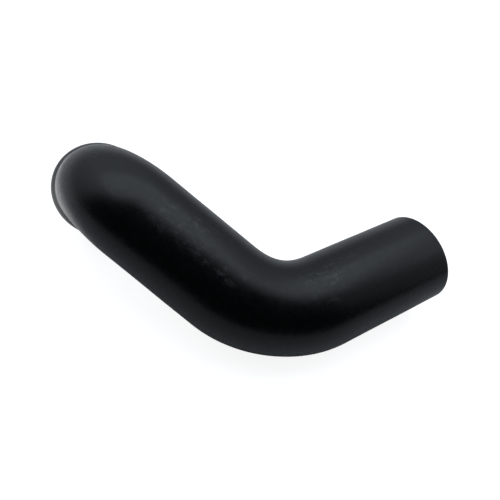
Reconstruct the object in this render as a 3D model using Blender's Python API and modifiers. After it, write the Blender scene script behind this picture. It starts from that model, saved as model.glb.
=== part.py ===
"""Turbo intake hose: one moulded rubber hose with two bends, a cuffed outlet and square-cut, open ends.

Metres, +Z up. The hose lies as it comes to rest on a flat surface. Its inlet leg lies flat along X,
with the inlet's mouth facing +X, the middle leg climbs away towards +Y, and the elbow turns down, so
that the rim of the outlet's mouth touches the surface. The origin is under the middle of the hose, at
the height of that surface.
"""

import math

import bpy
import numpy as np
from mathutils import Matrix, Quaternion, Vector

# Driving dimensions
BORE_DIAMETER = 0.060  # inside, over the inlet's pipe spigot and all along the hose
CUFF_BORE_DIAMETER = 0.064  # inside the outlet's cuff
WALL_THICKNESS = 0.005
INLET_LEG = 0.091  # straight, from the inlet's cut end to the first bend
FIRST_BEND = math.radians(62.0)
FIRST_BEND_RADIUS = 0.073  # of the centreline
FIRST_BEND_NECKING = 0.022  # share by which the hose draws in halfway round the first bend
MIDDLE_LEG = 0.075  # straight, between the first bend and the elbow
ELBOW_BEND = math.radians(74.5)
ELBOW_RADIUS = 0.045  # of the centreline
ELBOW_NECKING = 0.08  # share by which the hose draws in towards the elbow's end
BEND_TWIST = math.radians(78.0)  # from the first bend's plane to the elbow's, about the middle leg
FLARE_LENGTH = 0.014  # over which the hose widens from the elbow's end to the cuff
CUFF_LENGTH = 0.021  # straight, up to the outlet's cut end
RIM_ROUNDING = 0.0008  # on the edges of the cut ends

# Fineness of the faces
ROUND_STEPS = 22  # the round section has 4 sides more than twice this
BEND_STEP = math.radians(4.5)  # turn from one section to the next in a bend
FLARE_STEPS = 5
RIM_STEPS = 2

# Range in which the hose's roll at rest is looked for, about the inlet leg
LEAST_ROLL = math.radians(-30.0)
MOST_ROLL = math.radians(80.0)
ROLL_HALVINGS = 50

OUTER_RADIUS = BORE_DIAMETER / 2 + WALL_THICKNESS
CUFF_RADIUS = CUFF_BORE_DIAMETER / 2 + WALL_THICKNESS


def remove_everything():
    for item in list(bpy.data.objects):
        bpy.data.objects.remove(item)


def new_collection(name):
    collection = bpy.data.collections.new(name)
    bpy.context.scene.collection.children.link(collection)
    return collection


def rubber():
    """Black moulded rubber with a satin skin."""
    material = bpy.data.materials.new("black_rubber")
    material.use_nodes = True
    shader = material.node_tree.nodes["Principled BSDF"]
    shader.inputs["Base Color"].default_value = (0.020, 0.021, 0.022, 1.0)
    shader.inputs["Roughness"].default_value = 0.42
    shader.inputs["Metallic"].default_value = 0.0
    material.diffuse_color = (0.020, 0.021, 0.022, 1.0)
    return material


def eased(share):
    """A share from 0 to 1 that starts and stops gently."""
    return share * share * (3.0 - 2.0 * share)


def first_bend_width(share):
    """Width of the section on the way round the first bend, narrowest halfway."""
    return 1.0 - FIRST_BEND_NECKING * math.sin(math.pi * share) ** 2


def elbow_width(share):
    """Width of the section on the way round the elbow, narrowest at its end."""
    return 1.0 - ELBOW_NECKING * eased(share)


class Route:
    """The centreline, laid out like a bent pipe: straight runs, and turns about a given axis.

    Each point has the width of the section there, as a share of the inlet's.
    """

    def __init__(self, heading, bend_axis):
        self.points = [Vector((0.0, 0.0, 0.0))]
        self.widths = [1.0]
        self.heading = Vector(heading)
        self.bend_axis = Vector(bend_axis)

    def run(self, length):
        self.points.append(self.points[-1] + length * self.heading)
        self.widths.append(self.widths[-1])

    def widen(self, length, width):
        """A straight run over which the section comes to the given width."""
        first = self.widths[-1]
        for step in range(1, FLARE_STEPS + 1):
            self.run(length / FLARE_STEPS)
            self.widths[-1] = first + (width - first) * eased(step / FLARE_STEPS)

    def turn(self, angle, radius, width_at):
        """Follows an arc. width_at gives the section's width at a share of the way round."""
        steps = math.ceil(angle / BEND_STEP)
        centre = self.points[-1] + radius * self.bend_axis.cross(self.heading)
        spoke = self.points[-1] - centre
        for step in range(1, steps + 1):
            turned = Quaternion(self.bend_axis, angle * step / steps)
            self.points.append(centre + turned @ spoke)
            self.widths.append(width_at(step / steps))
        self.heading = Quaternion(self.bend_axis, angle) @ self.heading

    def twist(self, angle):
        self.bend_axis = Quaternion(self.heading, angle) @ self.bend_axis


def hose_route():
    """The route with the inlet leg along X and the first bend level, before the hose is rolled."""
    route = Route(heading=(-1.0, 0.0, 0.0), bend_axis=(0.0, 0.0, -1.0))
    route.run(INLET_LEG)
    route.turn(FIRST_BEND, FIRST_BEND_RADIUS, first_bend_width)
    route.run(MIDDLE_LEG)
    route.twist(BEND_TWIST)
    route.turn(ELBOW_BEND, ELBOW_RADIUS, elbow_width)
    route.widen(FLARE_LENGTH, CUFF_RADIUS / OUTER_RADIUS)
    route.run(CUFF_LENGTH)
    return route


def outlet_height(route, roll):
    """Height of the outlet rim's lowest point over the surface under the inlet leg."""
    rolled = Matrix.Rotation(roll, 3, "X")
    heading = rolled @ route.heading
    rounding_centre = rolled @ route.points[-1] - RIM_ROUNDING * heading
    reach = (CUFF_RADIUS - RIM_ROUNDING) * math.sqrt(1.0 - heading.z**2) + RIM_ROUNDING
    return OUTER_RADIUS + rounding_centre.z - reach


def resting_roll(route):
    """The roll about the inlet leg at which the outlet's rim comes down on the surface."""
    low, high = LEAST_ROLL, MOST_ROLL
    for _ in range(ROLL_HALVINGS):
        middle = (low + high) / 2
        if outlet_height(route, middle) < 0.0:
            low = middle
        else:
            high = middle
    return (low + high) / 2


def skin_curve(route):
    """The hose's outer skin as a round curve, open at both ends."""
    curve = bpy.data.curves.new("outer_skin", "CURVE")
    curve.dimensions = "3D"
    curve.bevel_depth = OUTER_RADIUS
    curve.bevel_resolution = ROUND_STEPS
    curve.use_fill_caps = False
    spline = curve.splines.new("POLY")
    spline.points.add(len(route.points) - 1)
    for point, place, width in zip(spline.points, route.points, route.widths):
        point.co = (*place, 1.0)
        point.radius = width
    spline.use_smooth = True
    return curve


def mesh_of(curve, collection):
    """The curve's surface as a mesh, so that modifiers for faces can follow."""
    guide = bpy.data.objects.new("outer_skin", curve)
    collection.objects.link(guide)
    graph = bpy.context.evaluated_depsgraph_get()
    mesh = bpy.data.meshes.new_from_object(guide.evaluated_get(graph))
    bpy.data.objects.remove(guide)
    return mesh


def add_wall(hose):
    """Thickens the skin inwards to the bore."""
    wall = hose.modifiers.new("wall", "SOLIDIFY")
    wall.thickness = WALL_THICKNESS
    wall.offset = -1.0
    wall.use_even_offset = True


def round_rims(hose):
    """Takes the sharp edges off the two cut ends, at the skin and at the bore."""
    rims = hose.modifiers.new("rims", "BEVEL")
    rims.width = RIM_ROUNDING
    rims.segments = RIM_STEPS
    rims.limit_method = "ANGLE"
    rims.angle_limit = math.radians(60.0)


def rest_on_origin(hose):
    """Moves the hose so that the middle of its footprint is the origin, and its lowest point at Z 0."""
    bpy.context.view_layer.update()
    graph = bpy.context.evaluated_depsgraph_get()
    evaluated = hose.evaluated_get(graph)
    shape = evaluated.to_mesh()
    points = np.empty(len(shape.vertices) * 3, np.float32)
    shape.vertices.foreach_get("co", points)
    evaluated.to_mesh_clear()
    points = points.reshape(-1, 3) @ np.array(hose.matrix_world.to_3x3()).T
    low, high = points.min(axis=0), points.max(axis=0)
    hose.location = (-(low[0] + high[0]) / 2, -(low[1] + high[1]) / 2, -low[2])


def build_hose(collection):
    route = hose_route()
    mesh = mesh_of(skin_curve(route), collection)
    mesh.name = "hose"
    mesh.shade_smooth()
    hose = bpy.data.objects.new("hose", mesh)
    hose.data.materials.clear()
    hose.data.materials.append(rubber())
    hose.rotation_euler = (resting_roll(route), 0.0, 0.0)
    collection.objects.link(hose)
    add_wall(hose)
    round_rims(hose)
    rest_on_origin(hose)


def main():
    remove_everything()
    build_hose(new_collection("turbo_intake_hose"))


main()
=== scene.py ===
"""Dresses the turbo intake hose: one moulded rubber hose on a pale studio floor.

Metres, +Z up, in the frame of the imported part. The hose is swept along its centreline again, in
fine faces, from one cut end to the other.
"""

import math

import bpy
from bpy.props import FloatProperty, FloatVectorProperty, IntProperty, PointerProperty
from mathutils import Matrix, Quaternion, Vector
from mathutils import noise as field


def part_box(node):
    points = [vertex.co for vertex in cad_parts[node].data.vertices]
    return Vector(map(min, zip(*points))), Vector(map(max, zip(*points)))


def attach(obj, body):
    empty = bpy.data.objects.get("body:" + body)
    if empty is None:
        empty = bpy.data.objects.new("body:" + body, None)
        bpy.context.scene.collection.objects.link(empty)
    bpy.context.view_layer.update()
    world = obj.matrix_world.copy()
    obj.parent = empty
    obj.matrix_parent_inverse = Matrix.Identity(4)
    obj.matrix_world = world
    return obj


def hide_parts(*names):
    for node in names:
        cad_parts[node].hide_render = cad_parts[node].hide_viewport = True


bl_info = {
    "name": "Turbo Intake Hose",
    "version": (1, 0, 0),
    "blender": (4, 5, 0),
    "location": "View3D > Sidebar > Intake Hose",
    "description": "Builds a moulded rubber intake hose with cut ends on a pale studio floor",
    "category": "Object",
}

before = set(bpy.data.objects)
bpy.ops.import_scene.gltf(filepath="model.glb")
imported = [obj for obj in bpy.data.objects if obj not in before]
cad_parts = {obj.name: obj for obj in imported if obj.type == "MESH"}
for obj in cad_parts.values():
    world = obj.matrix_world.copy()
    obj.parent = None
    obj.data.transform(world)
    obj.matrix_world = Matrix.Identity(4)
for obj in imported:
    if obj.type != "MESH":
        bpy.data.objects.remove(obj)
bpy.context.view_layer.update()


# Sizes and finishes that a user would change


class HoseSizes(bpy.types.PropertyGroup):
    """Sizes of the moulded hose."""

    bore_diameter: FloatProperty(
        name="Bore diameter",
        description="Inside width over the inlet's spigot and along the hose",
        default=0.060,
        min=0.02,
        unit="LENGTH",
    )
    cuff_bore_diameter: FloatProperty(
        name="Cuff bore diameter",
        description="Inside width of the outlet's cuff",
        default=0.064,
        min=0.02,
        unit="LENGTH",
    )
    wall: FloatProperty(
        name="Wall thickness",
        description="Thickness of the rubber wall",
        default=0.005,
        min=0.002,
        unit="LENGTH",
    )
    inlet_leg: FloatProperty(
        name="Inlet leg",
        description="Straight length from the inlet's cut end to the first bend",
        default=0.091,
        unit="LENGTH",
    )
    first_bend: FloatProperty(
        name="First bend",
        description="Turn of the first bend",
        default=math.radians(62.0),
        unit="ROTATION",
    )
    first_bend_radius: FloatProperty(
        name="First bend radius",
        description="Radius of the first bend's centreline",
        default=0.073,
        unit="LENGTH",
    )
    first_bend_necking: FloatProperty(
        name="First bend necking",
        description="Share by which the hose draws in halfway round the first bend",
        default=0.022,
        subtype="FACTOR",
    )
    middle_leg: FloatProperty(
        name="Middle leg",
        description="Straight length between the first bend and the elbow",
        default=0.075,
        unit="LENGTH",
    )
    elbow: FloatProperty(
        name="Elbow",
        description="Turn of the elbow before the outlet",
        default=math.radians(74.5),
        unit="ROTATION",
    )
    elbow_radius: FloatProperty(
        name="Elbow radius",
        description="Radius of the elbow's centreline",
        default=0.045,
        unit="LENGTH",
    )
    elbow_necking: FloatProperty(
        name="Elbow necking",
        description="Share by which the hose draws in towards the elbow's end",
        default=0.08,
        subtype="FACTOR",
    )
    twist: FloatProperty(
        name="Twist between the bends",
        description="Turn from the first bend's plane to the elbow's, about the middle leg",
        default=math.radians(78.0),
        unit="ROTATION",
    )
    flare: FloatProperty(
        name="Flare",
        description="Length over which the hose widens to the outlet's cuff",
        default=0.014,
        unit="LENGTH",
    )
    cuff: FloatProperty(
        name="Cuff",
        description="Straight length of the outlet's cuff",
        default=0.021,
        unit="LENGTH",
    )
    rim_rounding: FloatProperty(
        name="Rim rounding",
        description="Radius on the edges of the cut ends",
        default=0.0008,
        unit="LENGTH",
    )
    sides: IntProperty(
        name="Sides",
        description="Faces round the hose",
        default=224,
        min=32,
    )
    unevenness: FloatProperty(
        name="Unevenness",
        description="How far the moulded skin wanders from a true round",
        default=0.00010,
        unit="LENGTH",
    )


class RubberFinish(bpy.types.PropertyGroup):
    """Colours and roughness of the rubber."""

    skin: FloatVectorProperty(
        name="Skin",
        description="Colour of the black rubber's skin",
        subtype="COLOR",
        size=3,
        default=(0.0024, 0.0027, 0.0030),
        min=0.0,
        max=1.0,
    )
    # Lightens the skin only on its upper side, where the soft light's highlight falls: partly chalky
    # marks, partly painted highlight.
    bloom_and_highlight: FloatVectorProperty(
        name="Bloom",
        description="Colour of the faint chalky film on the skin",
        subtype="COLOR",
        size=3,
        default=(0.040, 0.042, 0.044),
        min=0.0,
        max=1.0,
    )
    cut: FloatVectorProperty(
        name="Cut rubber",
        description="Colour of the cut ends",
        subtype="COLOR",
        size=3,
        default=(0.014, 0.014, 0.015),
        min=0.0,
        max=1.0,
    )
    bore: FloatVectorProperty(
        name="Bore",
        description="Colour of the rubber in the bore",
        subtype="COLOR",
        size=3,
        default=(0.009, 0.009, 0.010),
        min=0.0,
        max=1.0,
    )
    roughness: FloatProperty(
        name="Roughness",
        description="Roughness of the satin skin",
        default=0.29,
        min=0.0,
        max=1.0,
        subtype="FACTOR",
    )


class StudioSettings(bpy.types.PropertyGroup):
    """Floor, backdrop and light."""

    floor: FloatVectorProperty(
        name="Floor",
        description="Colour of the plain pale floor",
        subtype="COLOR",
        size=3,
        default=(0.6, 0.6, 0.6),
        min=0.0,
        max=1.0,
    )
    daylight: FloatVectorProperty(
        name="Daylight",
        description="Colour of the lights and the room",
        subtype="COLOR",
        size=3,
        default=(0.833, 0.917, 1.0),
        min=0.0,
        max=1.0,
    )
    soft_light: FloatProperty(
        name="Soft light",
        description="Radiance of the large soft light over the hose",
        default=0.74,
        min=0.0,
    )
    fill_light: FloatProperty(
        name="Fill light",
        description="Radiance of the faint soft light at the inlet's side",
        default=0.30,
        min=0.0,
    )
    # A painted glow on the floor, seen only in reflections in the hose.
    floor_gleam: FloatProperty(
        name="Floor gleam",
        description="How pale the floor beside the outlet looks in reflections",
        default=0.55,
        min=0.0,
    )
    bright_side: FloatProperty(
        name="Bright side",
        description="Strength of the room's bright side, beyond the hose",
        default=0.97,
        min=0.0,
    )
    surround: FloatProperty(
        name="Surround",
        description="Strength of the dim rest of the room",
        default=0.006,
        min=0.0,
    )


def hose_sizes():
    return bpy.context.scene.hose_sizes


def rubber_finish():
    return bpy.context.scene.rubber_finish


def studio_settings():
    return bpy.context.scene.studio_settings


# Centreline and sections

BEND_STEP = math.radians(1.6)  # turn from one section to the next
LEG_STEP = 0.0035  # from one section to the next in a straight leg
FLARE_STEPS = 14

LEAST_ROLL = math.radians(-30.0)  # range in which the roll at rest is looked for
MOST_ROLL = math.radians(80.0)
ROLL_HALVINGS = 50


def eased(share):
    """A share from 0 to 1 that starts and stops gently."""
    return share * share * (3.0 - 2.0 * share)


class Route:
    """The centreline, laid out like a bent pipe, with the outer radius of each section."""

    def __init__(self, heading, bend_axis, radius):
        self.points = [Vector((0.0, 0.0, 0.0))]
        self.headings = [Vector(heading)]
        self.radii = [radius]
        self.heading = Vector(heading)
        self.bend_axis = Vector(bend_axis)

    def add(self, point, radius):
        self.points.append(point)
        self.headings.append(self.heading.copy())
        self.radii.append(radius)

    def run(self, length, last_radius=None, steps=None):
        """A straight run, over which the section comes to last_radius."""
        steps = steps or max(1, round(length / LEG_STEP))
        start, first = self.points[-1], self.radii[-1]
        last = first if last_radius is None else last_radius
        for step in range(1, steps + 1):
            share = step / steps
            radius = first + (last - first) * eased(share)
            self.add(start + share * length * self.heading, radius)

    def turn(self, angle, radius, radius_at):
        """Follows an arc. radius_at gives the section's outer radius at a share of the way."""
        steps = math.ceil(angle / BEND_STEP)
        centre = self.points[-1] + radius * self.bend_axis.cross(self.heading)
        spoke, first = self.points[-1] - centre, self.heading.copy()
        for step in range(1, steps + 1):
            turned = Quaternion(self.bend_axis, angle * step / steps)
            self.heading = turned @ first
            self.add(centre + turned @ spoke, radius_at(step / steps))

    def twist(self, angle):
        """Turns the plane of the next bend about the way the route heads."""
        self.bend_axis = Quaternion(self.heading, angle) @ self.bend_axis


def level_route(s):
    """The route with the inlet leg along X and the first bend level."""
    outer = s.bore_diameter / 2 + s.wall
    cuff = s.cuff_bore_diameter / 2 + s.wall

    def first_bend_radius(share):
        return outer * (1.0 - s.first_bend_necking * math.sin(math.pi * share) ** 2)

    def elbow_radius(share):
        return outer * (1.0 - s.elbow_necking * eased(share))

    route = Route((-1.0, 0.0, 0.0), (0.0, 0.0, -1.0), outer)
    route.run(s.inlet_leg)
    route.turn(s.first_bend, s.first_bend_radius, first_bend_radius)
    route.run(s.middle_leg)
    route.twist(s.twist)
    route.turn(s.elbow, s.elbow_radius, elbow_radius)
    route.run(s.flare, last_radius=cuff, steps=FLARE_STEPS)
    route.run(s.cuff)
    return route


def resting_roll(route, rounding):
    """The roll about the inlet leg at which the outlet's rim comes down on the floor."""
    low, high = LEAST_ROLL, MOST_ROLL
    for _ in range(ROLL_HALVINGS):
        roll = (low + high) / 2
        rolled = Matrix.Rotation(roll, 3, "X")
        heading = rolled @ route.heading
        centre = rolled @ route.points[-1] - rounding * heading
        reach = (route.radii[-1] - rounding) * math.sqrt(1.0 - heading.z**2) + rounding
        if route.radii[0] + centre.z < reach:
            low = roll
        else:
            high = roll
    return (low + high) / 2


def resting_route(s):
    """The route as the hose lies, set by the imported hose's box, whose corner the inlet leg gives."""
    route = level_route(s)
    rolled = Matrix.Rotation(resting_roll(route, s.rim_rounding), 3, "X")
    low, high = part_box("hose")
    inlet = Vector((high.x, low.y + route.radii[0], low.z + route.radii[0]))
    route.points = [rolled @ point + inlet for point in route.points]
    route.headings = [rolled @ heading for heading in route.headings]
    return route


def carried_frames(route):
    """Two directions across the hose at each point, carried along without turning about it."""
    frames = []
    side, last = Vector((0.0, 1.0, 0.0)), route.headings[0]
    for heading in route.headings:
        side = last.rotation_difference(heading) @ side
        side = (side - heading * side.dot(heading)).normalized()
        frames.append((side.copy(), heading.cross(side)))
        last = heading
    return frames


# Mesh of the hose

SKIN, CUT, BORE = 0, 1, 2
ROUNDING_STEPS = 5
CUT_STEPS = 8
TRIM = 1.5  # roundings that skin and bore stop short of a cut end, where its own rings follow


class Ring:
    """One ring of the hose's closed surface, at a length along the hose and with its finish."""

    def __init__(self, centre, across, radius, along, finish):
        self.centre = centre
        self.across = across
        self.radius = radius
        self.along = along
        self.finish = finish

    def spoke(self, angle):
        """The direction outwards at an angle round the ring."""
        return math.cos(angle) * self.across[0] + math.sin(angle) * self.across[1]


def end_rings(centre, outward, across, radius, along, s):
    """Rings over one cut end, from the skin's rounded edge to the bore's."""
    rounding, wall = s.rim_rounding, s.wall
    rings = []
    for step in range(ROUNDING_STEPS + 1):
        angle = math.pi / 2 * step / ROUNDING_STEPS
        back, inwards = rounding * (1.0 - math.sin(angle)), rounding * (1.0 - math.cos(angle))
        finish = CUT if step else SKIN
        rings.append(Ring(centre - back * outward, across, radius - inwards, along, finish))
    for step in range(1, CUT_STEPS):
        depth = rounding + step / CUT_STEPS * (wall - 2 * rounding)
        rings.append(Ring(centre, across, radius - depth, along, CUT))
    for step in range(ROUNDING_STEPS + 1):
        angle = math.pi / 2 * step / ROUNDING_STEPS
        back, outwards = rounding * (1.0 - math.cos(angle)), rounding * (1.0 - math.sin(angle))
        finish = CUT if step == 0 else BORE
        rings.append(Ring(centre - back * outward, across, radius - wall + outwards, along, finish))
    return rings


def hose_rings(route, s):
    """Every ring of the closed surface: skin, outlet's cut end, bore, inlet's cut end."""
    frames = carried_frames(route)
    along = [0.0]
    for first, second in zip(route.points, route.points[1:]):
        along.append(along[-1] + (second - first).length)
    trim = TRIM * s.rim_rounding
    body = [i for i, length in enumerate(along) if trim < length < along[-1] - trim]
    skin = [Ring(route.points[i], frames[i], route.radii[i], along[i], SKIN) for i in body]
    bore = [
        Ring(route.points[i], frames[i], route.radii[i] - s.wall, along[i], BORE)
        for i in reversed(body)
    ]
    outlet = end_rings(
        route.points[-1], route.headings[-1], frames[-1], route.radii[-1], along[-1], s
    )
    inlet = end_rings(route.points[0], -route.headings[0], frames[0], route.radii[0], 0.0, s)
    return skin + outlet + bore + inlet[::-1]


UNEVEN_SCALE = 38.0  # waves of the skin's unevenness per metre
UNEVEN_FADE = 0.012  # over which it fades out towards the cut ends


def unevenness(point, ring, length, s):
    """How far the skin stands proud or shy of a true round at a point."""
    if ring.finish != SKIN:
        return 0.0
    fade = min(1.0, min(ring.along, length - ring.along) / UNEVEN_FADE)
    return s.unevenness * fade * field.noise(point * UNEVEN_SCALE)


def hose_mesh(route, s):
    """One closed mesh, with a map of lengths along and round the hose in metres."""
    rings = hose_rings(route, s)
    length = max(ring.along for ring in rings)
    count = s.sides
    girth = math.tau * route.radii[0]
    points = []
    for ring in rings:
        for k in range(count):
            spoke = ring.spoke(math.tau * k / count)
            point = ring.centre + ring.radius * spoke
            points.append(point + unevenness(point, ring, length, s) * spoke)
    faces, finishes, lengths = [], [], []
    for i, ring in enumerate(rings):
        j = (i + 1) % len(rings)
        following = rings[j]
        finish = CUT if CUT in (ring.finish, following.finish) else ring.finish
        for k in range(count):
            n = (k + 1) % count
            faces.append((i * count + k, i * count + n, j * count + n, j * count + k))
            finishes.append(finish)
            for along, share in (
                (ring.along, k),
                (ring.along, k + 1),
                (following.along, k + 1),
                (following.along, k),
            ):
                lengths += (along, share / count * girth)
    mesh = bpy.data.meshes.new("moulded_hose")
    mesh.from_pydata([tuple(point) for point in points], [], faces)
    mesh.uv_layers.new(name="lengths").data.foreach_set("uv", lengths)
    mesh.polygons.foreach_set("material_index", finishes)
    mesh.polygons.foreach_set("use_smooth", [True] * len(faces))
    mesh.update()
    return mesh


# Materials

UP = (0.0, 0.0, 1.0)
ALONG = (1.0, 0.0, 0.0)  # in the map of lengths


class Shading:
    """Lays out the nodes of one material or of the world."""

    def __init__(self, owner):
        owner.use_nodes = True
        self.owner = owner
        self.nodes = owner.node_tree.nodes
        self.links = owner.node_tree.links

    def add(self, kind, **settings):
        node = self.nodes.new(kind)
        for name, value in settings.items():
            setattr(node, name, value)
        return node

    def feed(self, socket, value):
        """Links a socket to another, or sets it to a number, a direction or a colour."""
        if isinstance(value, bpy.types.NodeSocket):
            self.links.new(value, socket)
        elif socket.type == "RGBA":
            socket.default_value = (*value, 1.0)
        else:
            socket.default_value = value

    def noise(self, place, scale, detail, roughness):
        """Noise from 0 to 1, in which scale is about the number of patches per metre."""
        node = self.add("ShaderNodeTexNoise")
        self.feed(node.inputs["Vector"], place)
        self.feed(node.inputs["Scale"], scale)
        self.feed(node.inputs["Detail"], detail)
        self.feed(node.inputs["Roughness"], roughness)
        return node.outputs["Fac"]

    def stretched(self, place, scale):
        """Places drawn out differently along their three directions."""
        node = self.add("ShaderNodeMapping")
        self.feed(node.inputs["Vector"], place)
        self.feed(node.inputs["Scale"], scale)
        return node.outputs["Vector"]

    def between(self, value, start, end, first=0.0, last=1.0):
        """Goes smoothly from first to last while a value goes from start to end."""
        node = self.add("ShaderNodeMapRange", interpolation_type="SMOOTHSTEP")
        for name, number in (
            ("Value", value),
            ("From Min", start),
            ("From Max", end),
            ("To Min", first),
            ("To Max", last),
        ):
            self.feed(node.inputs[name], number)
        return node.outputs["Result"]

    def maths(self, operation, first, second):
        """The sum or product of two numbers."""
        node = self.add("ShaderNodeMath", operation=operation)
        self.feed(node.inputs[0], first)
        self.feed(node.inputs[1], second)
        return node.outputs["Value"]

    def measure(self, operation, place, other):
        """A place's distance from another, or how far it lies in a direction."""
        node = self.add("ShaderNodeVectorMath", operation=operation)
        self.feed(node.inputs[0], place)
        self.feed(node.inputs[1], other)
        return node.outputs["Value"]

    def blend(self, share, first, second):
        """A colour between two, by a share."""
        node = self.add("ShaderNodeMix", data_type="RGBA")
        colours = [socket for socket in node.inputs if socket.type == "RGBA"]
        self.feed(node.inputs["Factor"], share)
        self.feed(colours[0], first)
        self.feed(colours[1], second)
        return next(socket for socket in node.outputs if socket.type == "RGBA")

    def bump(self, height, depth, strength, under=None):
        """Fine relief, which may lie over another."""
        node = self.add("ShaderNodeBump")
        self.feed(node.inputs["Strength"], strength)
        self.feed(node.inputs["Distance"], depth)
        self.feed(node.inputs["Height"], height)
        if under is not None:
            self.feed(node.inputs["Normal"], under)
        return node.outputs["Normal"]

    def shader(self, kind, colour, strength=None):
        """A plain shader: matt, glowing or background."""
        node = self.add(kind)
        self.feed(node.inputs["Color"], colour)
        if strength is not None:
            self.feed(node.inputs["Strength"], strength)
        return node.outputs[0]

    def both(self, first, second):
        """Two shaders added up."""
        node = self.add("ShaderNodeAddShader")
        self.feed(node.inputs[0], first)
        self.feed(node.inputs[1], second)
        return node.outputs[0]

    def for_rays(self, rays, shader, others):
        """One shader for a kind of ray, and another for all others."""
        path = self.add("ShaderNodeLightPath")
        node = self.add("ShaderNodeMixShader")
        self.feed(node.inputs[0], path.outputs[rays])
        self.feed(node.inputs[1], others)
        self.feed(node.inputs[2], shader)
        return node.outputs[0]


RUBBER_SHINE = 0.35  # specular level of the rubber, the same all over


class Rubber(Shading):
    """A rubber material, with places on it and lengths along and round the hose."""

    def __init__(self, name):
        super().__init__(bpy.data.materials.new(name))
        self.inputs = self.nodes["Principled BSDF"].inputs
        place = self.add("ShaderNodeTexCoord")
        self.here = place.outputs["Object"]
        self.lengths = place.outputs["UV"]
        self.facing = place.outputs["Normal"]

    def finish(self, colour, roughness, normal):
        """Feeds the material's shader, and gives the material."""
        self.feed(self.inputs["Base Color"], colour)
        self.feed(self.inputs["Roughness"], roughness)
        self.feed(self.inputs["Normal"], normal)
        self.feed(self.inputs["Specular IOR Level"], RUBBER_SHINE)
        return self.owner


FILM_AND_HIGHLIGHT_ENDS = ((0.04, 0.10), (0.30, 0.24))  # metres along the hose, from clean to worn, for the chalky marks and their painted highlight
PAINTED_HIGHLIGHT_SIDE = (0.86, 0.96)  # upward share of the skin's direction, from bare to marked; it keeps the chalky marks to where the soft light's highlight falls, as painted highlight


def chalky_film_and_painted_highlight(m):
    """Faint, patchy marks of handling in the middle, streaked along the hose, kept to the upper side
    where the soft light's highlight falls, so that they are partly a painted highlight.
    """
    clouds = m.between(m.noise(m.here, 30.0, 3.0, 0.55), 0.47, 0.62)
    streaks = m.stretched(m.lengths, (150.0, 260.0, 1.0))
    scuffs = m.between(m.noise(streaks, 1.0, 4.0, 0.65), 0.46, 0.64)
    dusting = m.between(m.noise(m.here, 760.0, 2.0, 0.6), 0.36, 0.62, 0.35, 1.0)
    film_and_highlight = m.maths("MULTIPLY", m.maths("MULTIPLY", clouds, scuffs), dusting)
    along = m.measure("DOT_PRODUCT", m.lengths, ALONG)
    for clean, worn in FILM_AND_HIGHLIGHT_ENDS:
        film_and_highlight = m.maths("MULTIPLY", film_and_highlight, m.between(along, clean, worn))
    # Painted highlight: the lighter marks are kept to the upward-facing skin, where the soft light's
    # highlight falls.
    upwards = m.measure("DOT_PRODUCT", m.facing, UP)
    return m.maths("MULTIPLY", film_and_highlight, m.between(upwards, *PAINTED_HIGHLIGHT_SIDE))


def skin_material(f):
    """Black moulded skin: satin, with faint chalky marks that are also a painted highlight on the
    upper side, fine grain and a few specks.
    """
    m = Rubber("moulded_black_rubber")
    film_and_highlight = chalky_film_and_painted_highlight(m)
    specks = m.between(m.noise(m.here, 620.0, 1.0, 0.4), 0.76, 0.80, 0.0, 0.3)
    # The chalky marks lighten the colour on the upper side only: partly real marks, partly painted
    # highlight.
    colour = m.blend(m.maths("ADD", film_and_highlight, specks), f.skin, f.bloom_and_highlight)
    mottle = m.noise(m.here, 210.0, 3.0, 0.6)
    satin = m.between(mottle, 0.3, 0.7, f.roughness - 0.03, f.roughness + 0.03)
    roughness = m.maths("ADD", satin, m.maths("MULTIPLY", film_and_highlight, 0.05))
    grain = m.bump(m.noise(m.here, 1500.0, 2.0, 0.5), 0.00002, 0.5)
    waves = m.bump(m.noise(m.here, 260.0, 2.0, 0.5), 0.00010, 0.4, grain)
    return m.finish(colour, roughness, waves)


def cut_material(f):
    """Cut ends: duller than the skin, with the blade's fine drag marks."""
    m = Rubber("cut_black_rubber")
    drag = m.noise(m.stretched(m.here, (500.0, 2600.0, 900.0)), 1.0, 3.0, 0.6)
    crumbs = m.noise(m.here, 900.0, 3.0, 0.6)
    colour = m.blend(m.between(crumbs, 0.4, 0.75), f.cut, 2.2 * Vector(f.cut))
    torn = m.bump(drag, 0.00008, 0.6)
    crumbled = m.bump(crumbs, 0.00006, 0.5, torn)
    return m.finish(colour, m.between(drag, 0.3, 0.7, 0.55, 0.75), crumbled)


def bore_material(f):
    """The bore: dull, with faint rings from the mandrel that the hose was drawn off."""
    m = Rubber("bore_black_rubber")
    rings = m.noise(m.stretched(m.lengths, (700.0, 12.0, 1.0)), 1.0, 4.0, 0.6)
    dust = m.between(m.noise(m.here, 60.0, 4.0, 0.6), 0.45, 0.75)
    colour = m.blend(dust, f.bore, 1.9 * Vector(f.bore))
    roughness = m.between(rings, 0.3, 0.7, 0.48, 0.62)
    return m.finish(colour, roughness, m.bump(rings, 0.00008, 0.5))


def put_in_scene(name, mesh, *materials):
    """An object of a mesh, with its materials in their order."""
    piece = bpy.data.objects.new(name, mesh)
    for material in materials:
        mesh.materials.append(material)
    bpy.context.scene.collection.objects.link(piece)
    return piece


# Studio

CAMERA_PLACE = (-0.10994, -0.15896, 0.31087)
CAMERA_TURNS = (31.961, -6.855, -28.125)  # degrees about X, Y and Z
CAMERA_LENS = 30.158  # millimetres
CAMERA_SENSOR = 36.0  # millimetres wide

WHITE = (1.0, 1.0, 1.0)
FLOOR_SIZE = 4.0
FLOOR_DROP = 0.0002  # under the hose
FLOOR_PALENESS = 0.88  # that the camera sees on the floor besides what lights it

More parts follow.
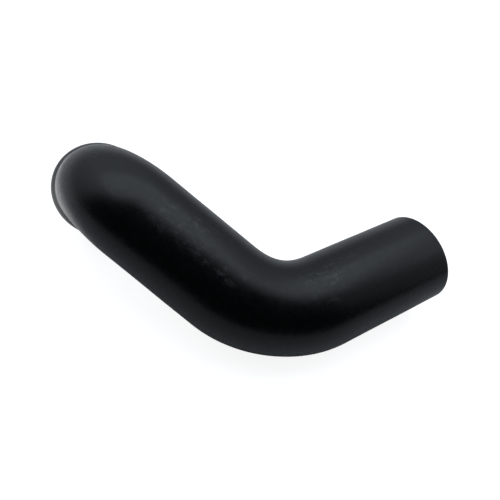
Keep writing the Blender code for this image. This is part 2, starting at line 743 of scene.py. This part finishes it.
LIGHTS_DISTANCE = 1.3
LIGHTS_AIM = Vector((0.0, 0.0, 0.04))  # the middle of the hose
SOFT_LIGHT = (75.3, 71.6)  # azimuth from +X towards +Y and elevation, in degrees
SOFT_LIGHT_SIZE = (1.9, 1.0)
FILL_LIGHT = (-40.0, 25.0)
FILL_LIGHT_SIZE = (0.7, 0.95)

BRIGHT_SIDE = 62.0  # azimuth, beyond the hose as the camera looks at it
ROOM_EDGE = (-0.22, 0.12)  # from dim to bright, as the share of a direction that points there
ROOM_HEIGHT = 0.85  # upward share of a direction where the room is brightest
LOW_SHARE = 0.34  # of that brightness at the height of the floor

GLEAM_PLACE = (-0.125, 0.135, 0.0)  # middle of a painted glow on the floor beside the outlet, seen only in reflections
GLEAM_FADE = (0.045, 0.10)  # metres from there, from pale to dim
BACK_GLEAM = 0.14  # painted glow of the floor beyond the hose, seen only in reflections
BACK_FADE = (-0.05, 0.04)  # metres towards the bright side, from dim to pale


def direction(azimuth, elevation):
    """A direction by its angles in degrees, the azimuth from +X towards +Y."""
    around, up = math.radians(azimuth), math.radians(elevation)
    return Vector(
        (math.cos(up) * math.cos(around), math.cos(up) * math.sin(around), math.sin(up))
    )


def soft_panel(name, angles, size, radiance, colour):
    """A rectangular soft light that faces the hose."""
    light = bpy.data.lights.new(name, "AREA")
    light.shape = "RECTANGLE"
    light.size, light.size_y = size
    light.energy = radiance * math.pi * light.size * light.size_y
    light.color = colour
    panel = bpy.data.objects.new(name, light)
    bpy.context.scene.collection.objects.link(panel)
    panel.location = LIGHTS_DISTANCE * direction(*angles) + LIGHTS_AIM
    panel.rotation_euler = direction(*angles).to_track_quat("Z", "Y").to_euler()


def floor_material(settings):
    """Matt and pale. The camera sees it white where it is lit, and its shadows faintly.

    Reflections in the hose see it dim in front, and a painted glow, seen only in reflections, makes it
    paler beyond the hose and beside the outlet.
    """
    m = Shading(bpy.data.materials.new("pale_floor"))
    m.nodes.clear()
    place = m.add("ShaderNodeNewGeometry").outputs["Position"]
    matt = m.shader("ShaderNodeBsdfDiffuse", settings.floor)
    white = m.both(matt, m.shader("ShaderNodeEmission", WHITE, FLOOR_PALENESS))
    beside = m.measure("DISTANCE", place, GLEAM_PLACE)
    beyond = m.measure("DOT_PRODUCT", place, direction(BRIGHT_SIDE, 0.0))
    # Painted glow, seen only in reflections in the hose: brightest beside the outlet and beyond the
    # hose.
    gleam = m.maths(
        "ADD",
        m.between(beside, *GLEAM_FADE, settings.floor_gleam, 0.0),
        m.between(beyond, *BACK_FADE, 0.0, BACK_GLEAM),
    )
    reflected = m.both(matt, m.shader("ShaderNodeEmission", WHITE, gleam))
    shader = m.for_rays("Is Glossy Ray", reflected, matt)
    shader = m.for_rays("Is Camera Ray", white, shader)
    m.feed(m.add("ShaderNodeOutputMaterial").inputs["Surface"], shader)
    return m.owner


def light_room(settings):
    """A dim room with one bright side, beyond the hose, and a white backdrop for the camera."""
    world = bpy.data.worlds.new("studio")
    bpy.context.scene.world = world
    m = Shading(world)
    m.nodes.clear()
    place = m.add("ShaderNodeTexCoord").outputs["Generated"]
    sideways = m.measure("DOT_PRODUCT", place, direction(BRIGHT_SIDE, 0.0))
    upwards = m.measure("DOT_PRODUCT", place, UP)
    side = m.between(sideways, *ROOM_EDGE, settings.surround, settings.bright_side)
    height = m.between(upwards, 0.0, ROOM_HEIGHT, LOW_SHARE, 1.0)
    strength = m.maths("MULTIPLY", side, height)
    room = m.shader("ShaderNodeBackground", settings.daylight, strength)
    white = m.shader("ShaderNodeBackground", WHITE, 1.0)
    shader = m.for_rays("Is Camera Ray", white, room)
    m.feed(m.add("ShaderNodeOutputWorld").inputs["Surface"], shader)


def place_camera():
    """The camera at the photograph's viewing angle."""
    data = bpy.data.cameras.new("camera")
    data.lens = CAMERA_LENS
    data.sensor_width = CAMERA_SENSOR
    camera = bpy.data.objects.new("camera", data)
    camera.location = CAMERA_PLACE
    camera.rotation_euler = [math.radians(turn) for turn in CAMERA_TURNS]
    bpy.context.scene.collection.objects.link(camera)
    bpy.context.scene.camera = camera


# Operators


class HOSE_OT_moulded_hose(bpy.types.Operator):
    """Build the moulded hose, from cut end to cut end"""

    bl_idname = "hose.moulded_hose"
    bl_label = "Moulded Hose"

    def execute(self, context):
        s, f = hose_sizes(), rubber_finish()
        mesh = hose_mesh(resting_route(s), s)
        piece = put_in_scene(
            "moulded_hose", mesh, skin_material(f), cut_material(f), bore_material(f)
        )
        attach(piece, "root")
        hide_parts("hose")
        return {"FINISHED"}


class HOSE_OT_studio(bpy.types.Operator):
    """Set out the floor, the soft lights and the camera"""

    bl_idname = "hose.studio"
    bl_label = "Studio"

    def execute(self, context):
        settings = studio_settings()
        bpy.ops.mesh.primitive_plane_add(size=FLOOR_SIZE, location=(0.0, 0.0, -FLOOR_DROP))
        floor = context.object
        floor.name = "floor"
        floor.data.materials.append(floor_material(settings))
        light_room(settings)
        colour = settings.daylight
        soft_panel("soft_light", SOFT_LIGHT, SOFT_LIGHT_SIZE, settings.soft_light, colour)
        soft_panel("fill_light", FILL_LIGHT, FILL_LIGHT_SIZE, settings.fill_light, colour)
        place_camera()
        context.scene.view_settings.view_transform = "Standard"
        return {"FINISHED"}


class HOSE_PT_panel(bpy.types.Panel):
    """Sizes, finishes and light of the intake hose"""

    bl_idname = "HOSE_PT_panel"
    bl_label = "Turbo Intake Hose"
    bl_space_type = "VIEW_3D"
    bl_region_type = "UI"
    bl_category = "Intake Hose"

    def draw(self, context):
        scene = context.scene
        for title, settings, operators in (
            ("Hose", scene.hose_sizes, ("hose.moulded_hose",)),
            ("Rubber", scene.rubber_finish, ()),
            ("Studio", scene.studio_settings, ("hose.studio",)),
        ):
            box = self.layout.box()
            box.label(text=title)
            for name in settings.bl_rna.properties.keys():
                if name not in {"rna_type", "name"}:
                    box.prop(settings, name)
            for operator in operators:
                box.operator(operator)


CLASSES = (
    HoseSizes,
    RubberFinish,
    StudioSettings,
    HOSE_OT_moulded_hose,
    HOSE_OT_studio,
    HOSE_PT_panel,
)


def register():
    for cls in CLASSES:
        bpy.utils.register_class(cls)
    bpy.types.Scene.hose_sizes = PointerProperty(type=HoseSizes)
    bpy.types.Scene.rubber_finish = PointerProperty(type=RubberFinish)
    bpy.types.Scene.studio_settings = PointerProperty(type=StudioSettings)


def unregister():
    del bpy.types.Scene.studio_settings
    del bpy.types.Scene.rubber_finish
    del bpy.types.Scene.hose_sizes
    for cls in reversed(CLASSES):
        bpy.utils.unregister_class(cls)


def main():
    register()
    bpy.ops.hose.moulded_hose()
    bpy.ops.hose.studio()


if __name__ == "__main__":
    main()
